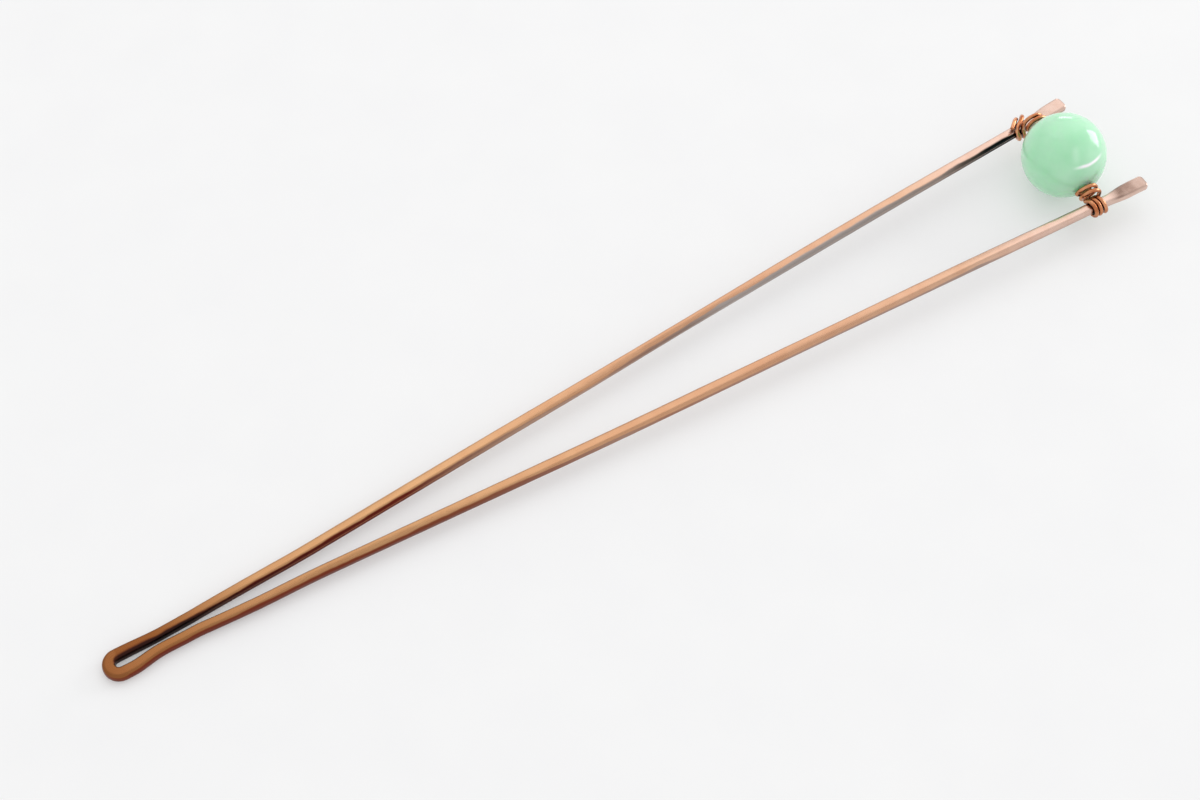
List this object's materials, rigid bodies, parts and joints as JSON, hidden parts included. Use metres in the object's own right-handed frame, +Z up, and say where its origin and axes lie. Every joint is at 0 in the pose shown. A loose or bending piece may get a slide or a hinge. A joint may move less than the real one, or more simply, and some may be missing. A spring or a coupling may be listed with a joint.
{
  "type": "hair stick",
  "caption": "Two-pronged hair stick of one copper wire folded in two, with a round translucent stone bead wired between its ends.",
  "frame": {"origin": "on the table under the middle of the stick as it lies: middle of its length and width", "axes": "+X from the fold to the tips beyond the bead, +Y towards the left leg, +Z up off the table"},
  "size_m": [0.1588, 0.0203, 0.012],
  "materials": {
    "forged_copper": "polished copper, hammered, darkened in its recesses",
    "green_stone": "polished, translucent and cloudy",
    "copper_wire": "round drawn copper wire, warm brown in its recesses"
  },
  "bodies": {
    "root": {"shaft": "forged_copper", "bead": "green_stone", "wrap_wire": "copper_wire"}
  },
  "joints": []
}
